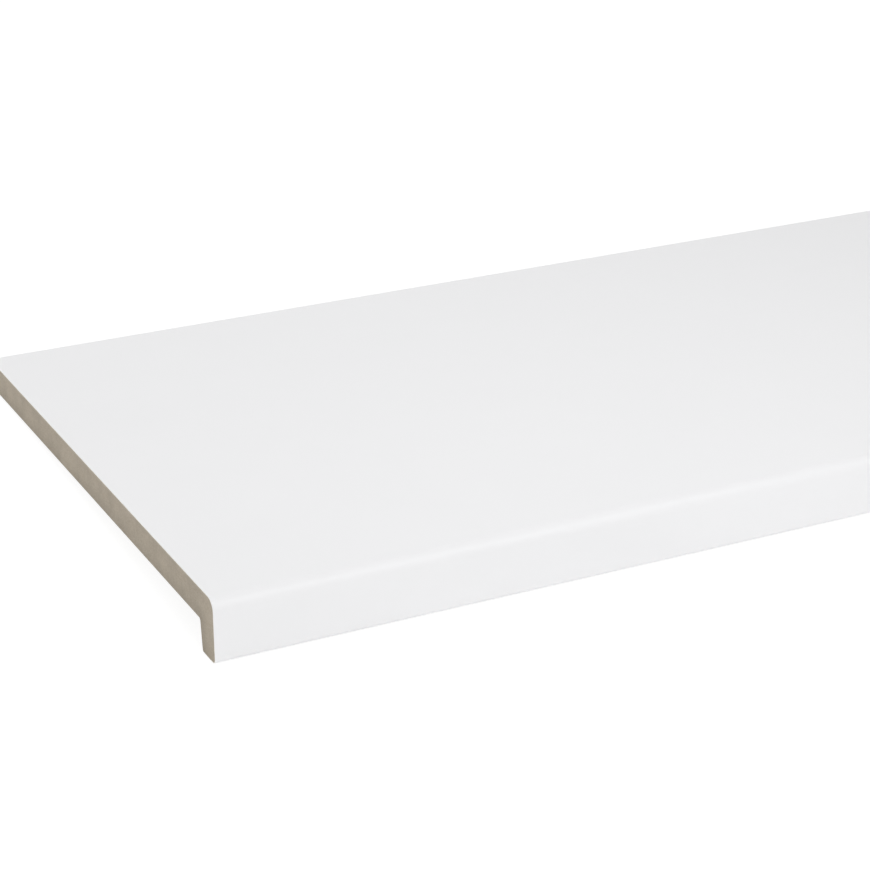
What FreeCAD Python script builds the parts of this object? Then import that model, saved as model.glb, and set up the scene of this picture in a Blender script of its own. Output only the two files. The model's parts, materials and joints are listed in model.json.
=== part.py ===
import FreeCAD, Part
import math
import os

# Window sill board: a wood-fibre board with a nose hanging from its front edge, and a white
# laminate bonded over its top, round the front edge, down the front and round under the nose.
# X runs along the window, the front faces -Y, Z is up. The board lies as it comes to rest on a
# floor, on the heel of its nose and on its rear lower edge.

# Driving dimensions, in millimetres
BOARD_LENGTH = 1000.0     # along the window, end to end
BOARD_DEPTH = 400.0       # front face to rear edge
BOARD_THICKNESS = 19.0    # top face to the bed face underneath
NOSE_DROP = 19.0          # nose below the bed face
NOSE_ROOT = 20.0          # nose, front face to back, at the bed face
NOSE_TIP = 18.0           # nose, front face to back, at its lower end
FRONT_RADIUS = 7.0        # upper front edge, over the laminate
TOE_RADIUS = 3.0          # lower front edge, over the laminate
HEEL_RADIUS = 1.5         # lower rear edge of the nose
THROAT_RADIUS = 1.5       # fillet between the bed face and the nose
FACING_THICKNESS = 0.5    # white laminate
FACING_LIP = 6.0          # front face to where the laminate ends under the nose

FRONT_HEIGHT = BOARD_THICKNESS + NOSE_DROP


def at(depth, height):
    """Point of the section: depth back from the front face, height above the nose's lower end."""
    return FreeCAD.Vector(0, depth, height)


def corner_arc(before, corner, after, radius):
    """Start, middle, end and centre of the arc that rounds a corner of an outline."""
    back = (before - corner).normalize()
    onward = (after - corner).normalize()
    half_angle = back.getAngle(onward) / 2
    inward = (back + onward).normalize()
    reach = radius / math.tan(half_angle)
    centre = corner + inward * (radius / math.sin(half_angle))
    return corner + back * reach, centre - inward * radius, corner + onward * reach, centre


def rounded_section(corners):
    """Face inside a closed outline of (point, radius) corners; a corner of radius 0 stays sharp."""
    count = len(corners)
    arcs = []
    for i, (corner, radius) in enumerate(corners):
        before = corners[i - 1][0]
        after = corners[(i + 1) % count][0]
        arcs.append(corner_arc(before, corner, after, radius))
    edges = []
    for i, (start, middle, end, centre) in enumerate(arcs):
        if corners[i][1] > 0:
            edges.append(Part.Arc(start, middle, end).toShape())
        edges.append(Part.LineSegment(end, arcs[(i + 1) % count][0]).toShape())
    return Part.Face(Part.Wire(edges))


def stock(section):
    """Length of stock with this section, centred along the window."""
    bar = section.extrude(FreeCAD.Vector(BOARD_LENGTH, 0, 0))
    bar.translate(FreeCAD.Vector(-BOARD_LENGTH / 2, 0, 0))
    return bar


# Corners of the nose's back and of the rear edge, which the outline and the resting line share
heel = at(NOSE_TIP, 0)
throat = at(NOSE_ROOT, NOSE_DROP)
rear_foot = at(BOARD_DEPTH, NOSE_DROP)
rear_top = at(BOARD_DEPTH, FRONT_HEIGHT)
toe = at(0, 0)
front_top = at(0, FRONT_HEIGHT)


def whole_board():
    """Board and nose together, laminate included."""
    return stock(rounded_section([
        (rear_top, 0),
        (front_top, FRONT_RADIUS),
        (toe, TOE_RADIUS),
        (heel, HEEL_RADIUS),
        (throat, THROAT_RADIUS),
        (rear_foot, 0),
    ]))


def facing():
    """Laminate of even thickness, formed round the upper and lower front edges."""
    skin = FACING_THICKNESS
    return stock(rounded_section([
        (rear_top, 0),
        (front_top, FRONT_RADIUS),
        (toe, TOE_RADIUS),
        (at(FACING_LIP, 0), 0),
        (at(FACING_LIP, skin), 0),
        (at(skin, skin), TOE_RADIUS - skin),
        (at(skin, FRONT_HEIGHT - skin), FRONT_RADIUS - skin),
        (at(BOARD_DEPTH, FRONT_HEIGHT - skin), 0),
    ]))


def resting_tilt():
    """Slope, in radians, of the line that touches the heel's arc and the rear lower edge from below."""
    centre = corner_arc(toe, heel, throat, HEEL_RADIUS)[3]
    span = rear_foot - centre
    return math.atan2(span.z, span.y) + math.asin(HEEL_RADIUS / span.Length)


def lay_down(pieces, outside):
    """Turn the pieces to the resting slope and set the whole board's bottom centre on the origin."""
    turn = -math.degrees(resting_tilt())
    for shape in pieces + [outside]:
        shape.rotate(FreeCAD.Vector(0, 0, 0), FreeCAD.Vector(1, 0, 0), turn)
    box = outside.optimalBoundingBox(False, False)
    for shape in pieces:
        shape.translate(FreeCAD.Vector(0, -box.Center.y, -box.ZMin))


outside = whole_board()
laminate_facing = facing()
mdf_core = outside.cut(laminate_facing)
lay_down([mdf_core, laminate_facing], outside)

os.makedirs("parts", exist_ok=True)
mdf_core.exportStep("parts/mdf_core.step")
laminate_facing.exportStep("parts/laminate_facing.step")
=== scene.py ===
import json
import math

import bmesh
import bpy
from mathutils import Matrix, Vector


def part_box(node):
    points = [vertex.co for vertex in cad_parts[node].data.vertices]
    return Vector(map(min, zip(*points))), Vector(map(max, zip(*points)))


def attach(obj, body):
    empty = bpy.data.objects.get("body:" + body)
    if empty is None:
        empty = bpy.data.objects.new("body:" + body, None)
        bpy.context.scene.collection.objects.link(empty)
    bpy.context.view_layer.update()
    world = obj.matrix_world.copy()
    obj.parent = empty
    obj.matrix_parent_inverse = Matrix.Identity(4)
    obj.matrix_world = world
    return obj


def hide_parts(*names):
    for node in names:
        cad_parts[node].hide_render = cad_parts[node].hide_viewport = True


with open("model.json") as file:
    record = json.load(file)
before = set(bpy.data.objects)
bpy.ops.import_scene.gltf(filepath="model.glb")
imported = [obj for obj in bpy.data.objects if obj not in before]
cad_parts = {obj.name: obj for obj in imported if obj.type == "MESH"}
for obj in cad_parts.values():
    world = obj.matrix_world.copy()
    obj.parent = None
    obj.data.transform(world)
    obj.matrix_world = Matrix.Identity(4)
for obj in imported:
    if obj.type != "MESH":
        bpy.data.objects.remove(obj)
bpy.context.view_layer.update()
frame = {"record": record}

# Fibreboard core: the board and the nose that hangs from its front edge, one piece of
# medium-density fibreboard. It is moulded to this section under a hot press, then sawn square
# at both ends and along the rear. Modelled level, front face at y = 0 and nose bottom at z = 0.
core_low, core_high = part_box("mdf_core")
board_length = core_high.x - core_low.x
board_depth = 0.400
board_thickness = 0.019
nose_drop = 0.019
nose_root = 0.020
nose_tip = 0.018
nose_draft = (nose_root - nose_tip) / nose_drop
front_height = board_thickness + nose_drop
front_radius = 0.007
toe_radius = 0.003
heel_radius = 0.0015
throat_radius = 0.0015
front_steps = 24
toe_steps = 12
inner_steps = 6
# The core stands back by the laminate's thickness wherever the laminate covers it.
skin = 0.0005
lip_depth = 0.006
TINY = 0.00005
FLAT = math.radians(0.5)


def pick(part, test):
    """In edit mode, selects just the "verts", "edges" or "faces" whose every corner passes the test."""
    bpy.ops.mesh.select_all(action="DESELECT")
    bpy.ops.mesh.select_mode(type=part[:-1].upper())
    mesh = bmesh.from_edit_mesh(bpy.context.object.data)
    for item in getattr(mesh, part):
        corners = [item] if part == "verts" else item.verts
        if all(test(corner.co) for corner in corners):
            item.select_set(True)
    mesh.select_flush_mode()
    bmesh.update_edit_mesh(bpy.context.object.data)


def long_edge(y, z):
    """Test for the edge that runs the board's whole length at one place of the section."""
    return lambda co: abs(co.y - y) < TINY and abs(co.z - z) < TINY


def pull(y=0, z=0):
    """Extrudes what is selected, back or up by a distance."""
    bpy.ops.mesh.extrude_region_move(TRANSFORM_OT_translate={"value": (0, y, z)})


def round_edge(y, z, reach, steps):
    """Rounds one long edge, the round starting that far from the edge on both sides."""
    pick("edges", long_edge(y, z))
    bpy.ops.mesh.bevel(offset=reach, segments=steps, profile=0.5, clamp_overlap=False)


bpy.ops.object.select_all(action="DESELECT")
bpy.ops.mesh.primitive_cube_add(
    size=1,
    location=(0, (skin + board_depth) / 2, (nose_drop + front_height - skin) / 2),
    scale=(board_length, board_depth - skin, board_thickness - skin),
)
core = bpy.context.object
core.name = "fibreboard_core"
bpy.ops.object.transform_apply(location=True, rotation=True, scale=True)
bpy.ops.object.mode_set(mode="EDIT")
# The nose is pulled down from the strip of underside in front of the throat, in two steps that
# leave a shallow rebate for the lip of the laminate, and its back leans towards the front.
bpy.ops.mesh.bisect(plane_co=(0, nose_root, 0), plane_no=(0, 1, 0))
pick("faces", lambda co: co.z < nose_drop + TINY and co.y < nose_root + TINY)
pull(z=skin - nose_drop)
bpy.ops.mesh.bisect(plane_co=(0, lip_depth, 0), plane_no=(0, 1, 0))
pick("faces", lambda co: co.z < skin + TINY and co.y > lip_depth - TINY)
pull(z=-skin)
pick("edges", long_edge(nose_root, 0))
bpy.ops.transform.translate(value=(0, -nose_draft * nose_drop, 0))
pick("edges", long_edge(nose_root, skin))
bpy.ops.transform.translate(value=(0, -nose_draft * (nose_drop - skin), 0))
bpy.ops.mesh.select_all(action="SELECT")
bpy.ops.mesh.dissolve_limited(angle_limit=FLAT)
round_edge(skin, front_height - skin, front_radius - skin, front_steps)
round_edge(skin, skin, toe_radius - skin, toe_steps)
round_edge(nose_tip, 0, heel_radius, inner_steps)
round_edge(nose_root, nose_drop, throat_radius, inner_steps)
bpy.ops.object.mode_set(mode="OBJECT")


def give_faces(piece, material_number, test):
    """Gives one of a piece's materials to the faces whose middle and normal pass the test."""
    for face in piece.data.polygons:
        if test(face.center, face.normal):
            face.material_index = material_number


def at_end(normal):
    """Test for a face sawn across the board's length."""
    return abs(normal.x) > abs(normal.y) + abs(normal.z)


# The board lies as the frame has it: sloping down to the rear, on its heel and its rear edge.
mounts = {mount["name"]: mount for mount in frame["record"]["mounts"]}
bed_normal = Vector(mounts["bed_face"]["axis"])
slope = math.atan2(-bed_normal.y, -bed_normal.z)
turn = Matrix.Rotation(-slope, 4, "X")
rear_middle = Vector((0, board_depth, (nose_drop + front_height - skin) / 2))
resting = Matrix.Translation(Vector(mounts["rear_edge"]["pos_m"]) - turn @ rear_middle) @ turn
level_again = resting.inverted()


def finish_piece(piece):
    """Lays a level piece down in its resting place, with smooth rounds and flat faces kept flat."""
    sharpest_round = math.radians(30)
    piece.matrix_world = resting
    bpy.ops.object.transform_apply(location=True, rotation=True, scale=True)
    bpy.ops.object.shade_smooth_by_angle(angle=sharpest_round)
    bpy.ops.object.modifier_add(type="WEIGHTED_NORMAL")
    piece.modifiers[-1].keep_sharp = True
    bpy.ops.object.modifier_apply(modifier=piece.modifiers[-1].name)


# Every face starts with the core's first material, the sawn one. The pressed one is its second.
PRESSED = 1
give_faces(core, PRESSED, lambda middle, normal: not at_end(normal) and middle.y < board_depth - TINY)
finish_piece(core)


def linear(hex_colour):
    """Linear RGBA of an sRGB colour written as "#RRGGBB"."""
    channels = [int(hex_colour[i:i + 2], 16) / 255 for i in (1, 3, 5)]
    return [c / 12.92 if c <= 0.04045 else ((c + 0.055) / 1.055) ** 2.4 for c in channels] + [1]


def add_node(tree, kind, inputs=(), **settings):
    """Adds a node; inputs maps each socket's name or number to a value or to an output that feeds it."""
    made = tree.nodes.new(kind)
    for name, value in settings.items():
        setattr(made, name, value)
    for socket, value in dict(inputs).items():
        if isinstance(value, bpy.types.NodeSocket):
            tree.links.new(value, made.inputs[socket])
        else:
            made.inputs[socket].default_value = value
    return made


# A Mix node has a set of sockets for each kind of data. These are the ones for colours.
SHARE, FIRST, SECOND = 0, 6, 7
MIXED = 2


def new_material(piece, name):
    """Adds a material to a piece and returns its node tree, with only an output node in it."""
    material = bpy.data.materials.new(name)
    material.use_nodes = True
    material.node_tree.nodes.clear()
    piece.data.materials.append(material)
    return material.node_tree, material.node_tree.nodes.new("ShaderNodeOutputMaterial")


def level_place(tree):
    """Coordinates of the level board: x along it, y back from its front face, z up from the nose bottom."""
    place = add_node(tree, "ShaderNodeTexCoord")
    level = add_node(
        tree,
        "ShaderNodeMapping",
        {
            "Vector": place.outputs["Object"],
            "Location": level_again.translation,
            "Rotation": level_again.to_euler(),
        },
    )
    return level.outputs[0]


def fibre_noise(tree, place):
    """Short fibres that lie in the plane of the board. Real ones are a tenth as thick and would not show."""
    fibre_length = 0.0016
    fibre_thickness = 0.0005
    stretched = add_node(
        tree,
        "ShaderNodeMapping",
        {"Vector": place, "Scale": (1 / fibre_length, 1 / fibre_length, 1 / fibre_thickness)},
    )
    noise = add_node(
        tree,
        "ShaderNodeTexNoise",
        {"Vector": stretched.outputs[0], "Scale": 1, "Detail": 3, "Roughness": 0.6},
    )
    return noise.outputs["Fac"]


# Sawn fibreboard, on the ends and along the rear: wood fibres in resin, cut across. Dull and even,
# with a fine fleck of fibres, soft clouds of colour and the faint lines of the saw. A painted shade
# darkens it towards the underside and the back of the nose. This is partly the denser layer that the
# press packs there, and partly the shade that falls there near the floor.
dark_fibre = "#A79B88"
light_fibre = "#BFB5A6"
cloud_size = 0.016
cloud_dark = 0.92
cloud_light = 1.07
saw_pitch = 0.0024
saw_lean = 0.15
saw_dark = 0.985
saw_light = 1.01
# Painted shade towards the underside and the back of the nose: it reaches this far in, and is this dark at
# the face.
shade_reach = 0.009
shade_darkest = 0.86
fibre_height = 0.3
saw_height = 0.0001
tree, output = new_material(core, "sawn_fibreboard")
place = level_place(tree)
fibres = fibre_noise(tree, place)
fleck = add_node(tree, "ShaderNodeMapRange", {"Value": fibres, "From Min": 0.25, "From Max": 0.75})
flecked = add_node(
    tree,
    "ShaderNodeMix",
    {SHARE: fleck.outputs[0], FIRST: linear(dark_fibre), SECOND: linear(light_fibre)},
    data_type="RGBA",
)
clouds = add_node(tree, "ShaderNodeTexNoise", {"Vector": place, "Scale": 1 / cloud_size, "Detail": 2})
cloud_shade = add_node(
    tree,
    "ShaderNodeMapRange",
    {
        "Value": clouds.outputs["Fac"],
        "From Min": 0.3,
        "From Max": 0.7,
        "To Min": cloud_dark,
        "To Max": cloud_light,
    },
)
# The saw leaves finer lines than these, which are spaced so that they show. At a scale of 1, a wave
# texture's diagonal bands take up ten radians of the wave in each metre.
saw_place = add_node(tree, "ShaderNodeMapping", {"Vector": place, "Scale": (1, 1, saw_lean)})
saw_lines = add_node(
    tree,
    "ShaderNodeTexWave",
    {
        "Vector": saw_place.outputs[0],
        "Scale": 2 * math.pi / (10 * saw_pitch),
        "Distortion": 2.5,
        "Detail": 2,
        "Detail Scale": 0.3,
    },
    bands_direction="DIAGONAL",
)
saw_shade = add_node(
    tree, "ShaderNodeMapRange", {"Value": saw_lines.outputs["Fac"], "To Min": saw_dark, "To Max": saw_light}
)
# Painted shade: the colour darkens towards the underside and the back of the nose, partly the denser pressed
# layer and partly the shade near the floor.
across = add_node(tree, "ShaderNodeSeparateXYZ", {"Vector": place})
above_bed = add_node(tree, "ShaderNodeMath", {0: across.outputs["Z"], 1: nose_drop}, operation="SUBTRACT")
before_back = add_node(tree, "ShaderNodeMath", {0: nose_root, 1: across.outputs["Y"]}, operation="SUBTRACT")
depth = add_node(
    tree, "ShaderNodeMath", {0: above_bed.outputs[0], 1: before_back.outputs[0]}, operation="MAXIMUM"
)
painted_underside_shade = add_node(
    tree,
    "ShaderNodeMapRange",
    {"Value": depth.outputs[0], "From Max": shade_reach, "To Min": shade_darkest, "To Max": 1},
)
shade = add_node(
    tree, "ShaderNodeMath", {0: cloud_shade.outputs[0], 1: saw_shade.outputs[0]}, operation="MULTIPLY"
)
shade = add_node(tree, "ShaderNodeMath", {0: shade.outputs[0], 1: painted_underside_shade.outputs[0]}, operation="MULTIPLY")
tone = add_node(
    tree,
    "ShaderNodeMix",
    {SHARE: 1, FIRST: flecked.outputs[MIXED], SECOND: shade.outputs[0]},
    data_type="RGBA",
    blend_type="MULTIPLY",
)
roughened = add_node(
    tree,
    "ShaderNodeMath",
    {0: fibres, 1: fibre_height, 2: saw_lines.outputs["Fac"]},
    operation="MULTIPLY_ADD",
)
relief = add_node(
    tree, "ShaderNodeBump", {"Height": roughened.outputs[0], "Strength": 0.4, "Distance": saw_height}
)
board = add_node(
    tree,
    "ShaderNodeBsdfPrincipled",
    {"Base Color": tone.outputs[MIXED], "Roughness": 0.85, "IOR": 1.5, "Normal": relief.outputs[0]},
)
tree.links.new(board.outputs[0], output.inputs["Surface"])

# Pressed fibreboard, on the underside and the back of the nose: the skin that the hot press leaves,
# closed and smooth, a little browner than the cut fibres, with a felt of flecks and a weak sheen.
dark_felt = "#9A8B74"
light_felt = "#AFA28C"
felt_cloud_size = 0.03
felt_cloud_dark = 0.93
felt_cloud_light = 1.04
smooth_felt = 0.5
rough_felt = 0.65
felt_height = 0.00005
tree, output = new_material(core, "pressed_fibreboard")
place = level_place(tree)
fibres = fibre_noise(tree, place)
fleck = add_node(tree, "ShaderNodeMapRange", {"Value": fibres, "From Min": 0.3, "From Max": 0.75})
flecked = add_node(
    tree,
    "ShaderNodeMix",
    {SHARE: fleck.outputs[0], FIRST: linear(dark_felt), SECOND: linear(light_felt)},
    data_type="RGBA",
)
clouds = add_node(tree, "ShaderNodeTexNoise", {"Vector": place, "Scale": 1 / felt_cloud_size, "Detail": 3})
cloud_shade = add_node(
    tree,
    "ShaderNodeMapRange",
    {
        "Value": clouds.outputs["Fac"],
        "From Min": 0.3,
        "From Max": 0.7,
        "To Min": felt_cloud_dark,
        "To Max": felt_cloud_light,
    },
)
tone = add_node(
    tree,
    "ShaderNodeMix",
    {SHARE: 1, FIRST: flecked.outputs[MIXED], SECOND: cloud_shade.outputs[0]},
    data_type="RGBA",
    blend_type="MULTIPLY",
)
sheen = add_node(
    tree, "ShaderNodeMapRange", {"Value": clouds.outputs["Fac"], "To Min": smooth_felt, "To Max": rough_felt}
)
relief = add_node(tree, "ShaderNodeBump", {"Height": fibres, "Strength": 0.2, "Distance": felt_height})
board = add_node(
    tree,
    "ShaderNodeBsdfPrincipled",
    {
        "Base Color": tone.outputs[MIXED],
        "Roughness": sheen.outputs[0],
        "IOR": 1.5,
        "Normal": relief.outputs[0],
    },
)
tree.links.new(board.outputs[0], output.inputs["Surface"])
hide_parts("mdf_core")
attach(core, "root")

# Laminate facing: a thin sheet of white melamine laminate, bonded to the core. It is heated and
# wrapped in one piece over the top, round the front edge, down the front and under the nose,
# where its lip lies flush in the core's rebate.
bpy.ops.object.select_all(action="DESELECT")
bpy.ops.mesh.primitive_plane_add(size=1, location=(0, board_depth / 2, front_height))
facing = bpy.context.object
facing.name = "laminate_sheet"
facing.scale = (board_length, board_depth, 1)
bpy.ops.object.transform_apply(location=True, rotation=True, scale=True)
bpy.ops.object.mode_set(mode="EDIT")
pick("edges", long_edge(0, front_height))
pull(z=-front_height)
pick("edges", long_edge(0, 0))
pull(y=lip_depth)
round_edge(0, front_height, front_radius, front_steps)
round_edge(0, 0, toe_radius, toe_steps)
bpy.ops.object.mode_set(mode="OBJECT")
bpy.ops.object.modifier_add(type="SOLIDIFY")
facing.modifiers[-1].thickness = skin
facing.modifiers[-1].offset = -1
facing.modifiers[-1].use_even_offset = True
bpy.ops.object.modifier_apply(modifier=facing.modifiers[-1].name)
# The sheet's first material is its white face, and its second is for the edges that the saw leaves.
CUT_EDGE = 1
give_faces(facing, CUT_EDGE, lambda middle, normal: at_end(normal) or middle.y > board_depth - TINY)
finish_piece(facing)

# White melamine laminate, pressed against a satin plate: hard and smooth, with a soft sheen and
# a barely felt pearl to its surface. The resin shines a little more than most plastics do.
dull_white = "#EFEFF0"
bright_white = "#F1F1F2"
pearl_size = 0.0012
pearl_height = 0.00003
sheen_patch = 0.05
smooth_patch = 0.34
rough_patch = 0.40
tree, output = new_material(facing, "white_melamine_laminate")
place = add_node(tree, "ShaderNodeTexCoord")
pearl = add_node(
    tree, "ShaderNodeTexNoise", {"Vector": place.outputs["Object"], "Scale": 1 / pearl_size, "Detail": 2}
)
patches = add_node(
    tree, "ShaderNodeTexNoise", {"Vector": place.outputs["Object"], "Scale": 1 / sheen_patch, "Detail": 3}
)
white = add_node(
    tree,
    "ShaderNodeMix",
    {SHARE: patches.outputs["Fac"], FIRST: linear(dull_white), SECOND: linear(bright_white)},
    data_type="RGBA",
)
gloss = add_node(
    tree,
    "ShaderNodeMapRange",
    {"Value": patches.outputs["Fac"], "To Min": smooth_patch, "To Max": rough_patch},
)
relief = add_node(
    tree, "ShaderNodeBump", {"Height": pearl.outputs["Fac"], "Strength": 0.15, "Distance": pearl_height}
)
melamine = add_node(
    tree,
    "ShaderNodeBsdfPrincipled",
    {
        "Base Color": white.outputs[MIXED],
        "Roughness": gloss.outputs[0],
        "IOR": 1.6,
        "Normal": relief.outputs[0],
    },
)
tree.links.new(melamine.outputs[0], output.inputs["Surface"])

# Cut edge of the laminate, at the ends and the rear: layers of paper in clear resin, seen on edge,
# creamier and duller than the face, with small ragged changes where the saw has picked at them.
dark_paper = "#D9D2C4"
light_paper = "#EAE5DA"
ragged_size = 0.004
tree, output = new_material(facing, "cut_laminate_edge")
ragged = add_node(
    tree,
    "ShaderNodeTexNoise",
    {"Vector": level_place(tree), "Scale": 1 / ragged_size, "Detail": 4, "Roughness": 0.6},
)
picked = add_node(
    tree, "ShaderNodeMapRange", {"Value": ragged.outputs["Fac"], "From Min": 0.3, "From Max": 0.7}
)
layers = add_node(
    tree,
    "ShaderNodeMix",
    {SHARE: picked.outputs[0], FIRST: linear(dark_paper), SECOND: linear(light_paper)},
    data_type="RGBA",
)
paper_edge = add_node(
    tree, "ShaderNodeBsdfPrincipled", {"Base Color": layers.outputs[MIXED], "Roughness": 0.6, "IOR": 1.5}
)
tree.links.new(paper_edge.outputs[0], output.inputs["Surface"])
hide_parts("laminate_facing")
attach(facing, "root")

# Studio floor: a wide plain sheet of white paper under the board. To the camera and in
# reflections it is as white as the backdrop, and it keeps a light shadow of the board.
floor_size = 40
plain_white = "#FFFFFF"
shaded_part = "#7C7C7C"
even_part = 0.9
bpy.ops.object.select_all(action="DESELECT")
bpy.ops.mesh.primitive_plane_add(size=floor_size)
floor = bpy.context.object
floor.name = "studio_floor"
tree, output = new_material(floor, "white_studio_paper")


def seen_ray(tree):
    """1 for what the camera sees, mirrored or through glass too, and 0 for light on its way to a surface."""
    rays = add_node(tree, "ShaderNodeLightPath").outputs
    seen = rays["Is Camera Ray"]
    for kind in ("Is Glossy Ray", "Is Transmission Ray"):
        seen = add_node(tree, "ShaderNodeMath", {0: seen, 1: rays[kind]}, operation="MAXIMUM").outputs[0]
    return seen


paper = add_node(tree, "ShaderNodeBsdfDiffuse", {"Color": linear(plain_white)})
faint_paper = add_node(tree, "ShaderNodeBsdfDiffuse", {"Color": linear(shaded_part)})
glow = add_node(tree, "ShaderNodeEmission", {"Color": linear(plain_white), "Strength": even_part})
lit_paper = add_node(tree, "ShaderNodeAddShader", {0: faint_paper.outputs[0], 1: glow.outputs[0]})
choice = add_node(
    tree, "ShaderNodeMixShader", {0: seen_ray(tree), 1: paper.outputs[0], 2: lit_paper.outputs[0]}
)
tree.links.new(choice.outputs[0], output.inputs["Surface"])

# Studio light: an even white surround and four soft lamps. A wide one high in front draws the light
# line along the rounded edge. One over the board and a long low one in front have filters that keep
# them out of the laminate's sheen, and a large one stands behind.
surround_light = 0.5
surround_seen = 1
lit_place = Vector((-0.2, 0, 0.03))
scene = bpy.context.scene
scene.world = bpy.data.worlds.new("white_studio")
scene.world.use_nodes = True
tree = scene.world.node_tree
tree.nodes.clear()
strength = add_node(
    tree, "ShaderNodeMapRange", {"Value": seen_ray(tree), "To Min": surround_light, "To Max": surround_seen}
)
surround = add_node(
    tree, "ShaderNodeBackground", {"Color": linear(plain_white), "Strength": strength.outputs[0]}
)
add_node(tree, "ShaderNodeOutputWorld", {"Surface": surround.outputs[0]})


def soft_lamp(name, towards, distance, width, height, power, in_sheen=True):
    """A soft lamp that faces the board's left half from one side, and that shows in its sheen or not."""
    bpy.ops.object.light_add(type="AREA", location=lit_place + Vector(towards).normalized() * distance)
    lamp = bpy.context.object
    lamp.name = name
    lamp.data.shape = "RECTANGLE"
    lamp.data.size = width
    lamp.data.size_y = height
    lamp.data.energy = power
    lamp.visible_glossy = in_sheen
    lamp.rotation_euler = (lit_place - lamp.location).to_track_quat("-Z", "Y").to_euler()


soft_lamp("high_lamp", towards=(0.15, -0.7, 0.75), distance=1.5, width=1.4, height=0.5, power=4.2)
soft_lamp(
    "top_lamp", towards=(-0.05, -0.25, 1), distance=1.0, width=0.7, height=0.7, power=2.11, in_sheen=False
)
soft_lamp(
    "front_strip", towards=(0, -1, 0.13), distance=1.8, width=1.6, height=0.4, power=4.04, in_sheen=False
)
soft_lamp("rear_lamp", towards=(-0.5, 1, 0.9), distance=2.5, width=1.5, height=1.5, power=15.08)

# Camera: a long lens at the photograph's viewing angle, aimed at the top of the board near its
# front left corner, with the slight roll of the picture.
lens = 101.44
sensor_width = 36
look_at = Vector((-0.29385, -0.04925, 0.03136))
camera_distance = 1.507
camera_azimuth = math.radians(-26.903)
camera_elevation = math.radians(25.4376)
camera_roll = math.radians(1.1534)
bpy.ops.object.camera_add()
camera = bpy.context.object
camera.name = "photo_camera"
camera.data.lens = lens
camera.data.sensor_width = sensor_width
away = Vector((
    math.sin(camera_azimuth) * math.cos(camera_elevation),
    -math.cos(camera_azimuth) * math.cos(camera_elevation),
    math.sin(camera_elevation),
))
upright = (-away).to_track_quat("-Z", "Y").to_matrix().to_4x4()
camera.matrix_world = (
    Matrix.Translation(look_at + away * camera_distance) @ upright @ Matrix.Rotation(camera_roll, 4, "Z")
)
scene.camera = camera
scene.view_settings.view_transform = "Standard"
